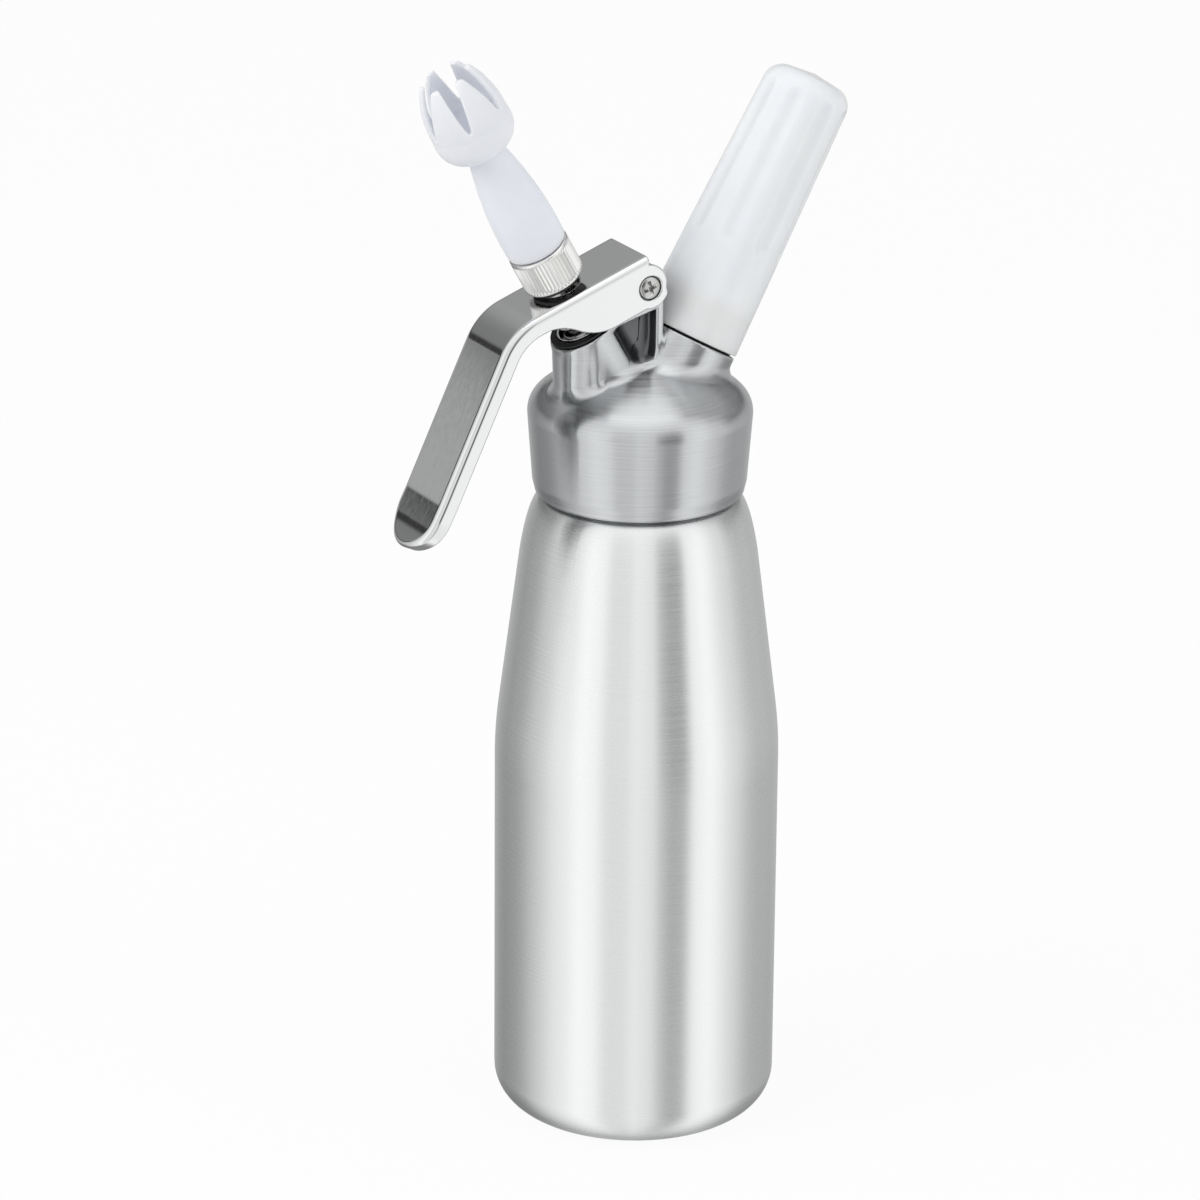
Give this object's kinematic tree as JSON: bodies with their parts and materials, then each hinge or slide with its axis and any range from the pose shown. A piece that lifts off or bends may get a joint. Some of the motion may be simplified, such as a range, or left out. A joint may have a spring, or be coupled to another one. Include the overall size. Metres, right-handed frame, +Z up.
{
  "type": "whipped cream dispenser",
  "caption": "Bottle with a screw-on head, a lever-worked sprung valve under a slanted decorating tip, and a slanted screw-on holder for a gas charger.",
  "frame": {"origin": "centre of the bottle's flat base, on the bottle's axis", "axes": "+Z up along the bottle; +X towards the charger holder, so the decorating tip and the lever are on -X; XZ is the mirror plane"},
  "size_m": [0.1388, 0.08, 0.3138],
  "materials": {
    "bottle_aluminium": "brushed round the bottle",
    "head_aluminium": "brushed round the cap, satin on the cast parts",
    "polished_steel": "mirror polished",
    "turned_steel": "turned",
    "knurled_steel": "straight knurl, bright",
    "charger_steel": "plated",
    "insert_aluminium": "turned",
    "pin_brass": "turned",
    "tip_plastic": "moulded, semi-gloss",
    "holder_plastic": "moulded, semi-gloss",
    "black_rubber": "matte",
    "clear_silicone": "translucent white"
  },
  "bodies": {
    "bottle_body": {"bottle": "bottle_aluminium"},
    "gasket_body": {"head_gasket": "clear_silicone"},
    "head_body": {"head": "head_aluminium", "pivot_sleeve": "turned_steel", "pivot_screw_front": "turned_steel", "pivot_screw_rear": "turned_steel", "pivot_washer_front": "clear_silicone", "pivot_washer_rear": "clear_silicone", "spring_cup": "polished_steel", "cup_gasket": "black_rubber", "return_valve": "black_rubber", "pin_washer": "black_rubber", "piercing_pin": "pin_brass", "charger_seal": "black_rubber"},
    "lever_body": {"lever": "polished_steel"},
    "stem_body": {"valve_stem": "turned_steel", "seat_seal": "black_rubber", "stem_ring": "black_rubber", "spring_plate": "turned_steel", "valve_spring": "turned_steel", "nozzle_adapter": "turned_steel"},
    "tip_seal_body": {"tip_seal": "black_rubber"},
    "tip_body": {"decorator_tip": "tip_plastic", "tip_collar": "knurled_steel"},
    "charger_body": {"gas_charger": "charger_steel", "charger_cap": "charger_steel"},
    "holder_ring_body": {"holder_ring": "black_rubber"},
    "holder_body": {"charger_holder": "holder_plastic", "holder_insert": "insert_aluminium"}
  },
  "joints": [
    {"name": "head_rise", "type": "slide", "parent": "bottle_body", "child": "gasket_body", "axis": [0, 0, 1], "range_m": [0, 0.02]},
    {"name": "head_turn", "type": "hinge", "parent": "gasket_body", "child": "head_body", "pos_m": [0, 0, 0.2], "axis": [0, 0, 1], "range_deg": [0, 1801]},
    {"name": "lever_press", "type": "hinge", "parent": "head_body", "child": "lever_body", "pos_m": [-0.0035, 0, 0.2464], "axis": [0, -1, 0], "range_deg": [0, 9.5]},
    {"name": "stem_slide", "type": "slide", "parent": "head_body", "child": "stem_body", "axis": [0.4879, 0, -0.8729], "range_m": [0, 0.00193], "stiffness_N_per_m": 3000, "springref_m": -0.004, "deforming": ["valve_spring"]},
    {"name": "tip_rise", "type": "slide", "parent": "stem_body", "child": "tip_seal_body", "axis": [-0.4879, 0, 0.8729], "range_m": [0, 0.00625]},
    {"name": "tip_turn", "type": "hinge", "parent": "tip_seal_body", "child": "tip_body", "pos_m": [-0.02732, 0, 0.24988], "axis": [-0.4879, 0, 0.8729], "range_deg": [0, 1801]},
    {"name": "charger_out", "type": "slide", "parent": "head_body", "child": "charger_body", "axis": [0.4939, 0, 0.8695], "range_m": [0, 0.04]},
    {"name": "holder_rise", "type": "slide", "parent": "charger_body", "child": "holder_ring_body", "axis": [0.4939, 0, 0.8695], "range_m": [0, 0.009]},
    {"name": "holder_turn", "type": "hinge", "parent": "holder_ring_body", "child": "holder_body", "pos_m": [0.01561, 0, 0.22848], "axis": [0.4939, 0, 0.8695], "range_deg": [0, 2161]}
  ],
  "couplings": [
    {"joint": "head_turn", "follows": "head_rise", "rad_per_m": 1570.8},
    {"joint": "lever_press", "follows": "stem_slide", "rad_per_m": 85.47},
    {"joint": "tip_turn", "follows": "tip_rise", "rad_per_m": 5026.5},
    {"joint": "holder_turn", "follows": "holder_rise", "rad_per_m": 4188.8}
  ]
}
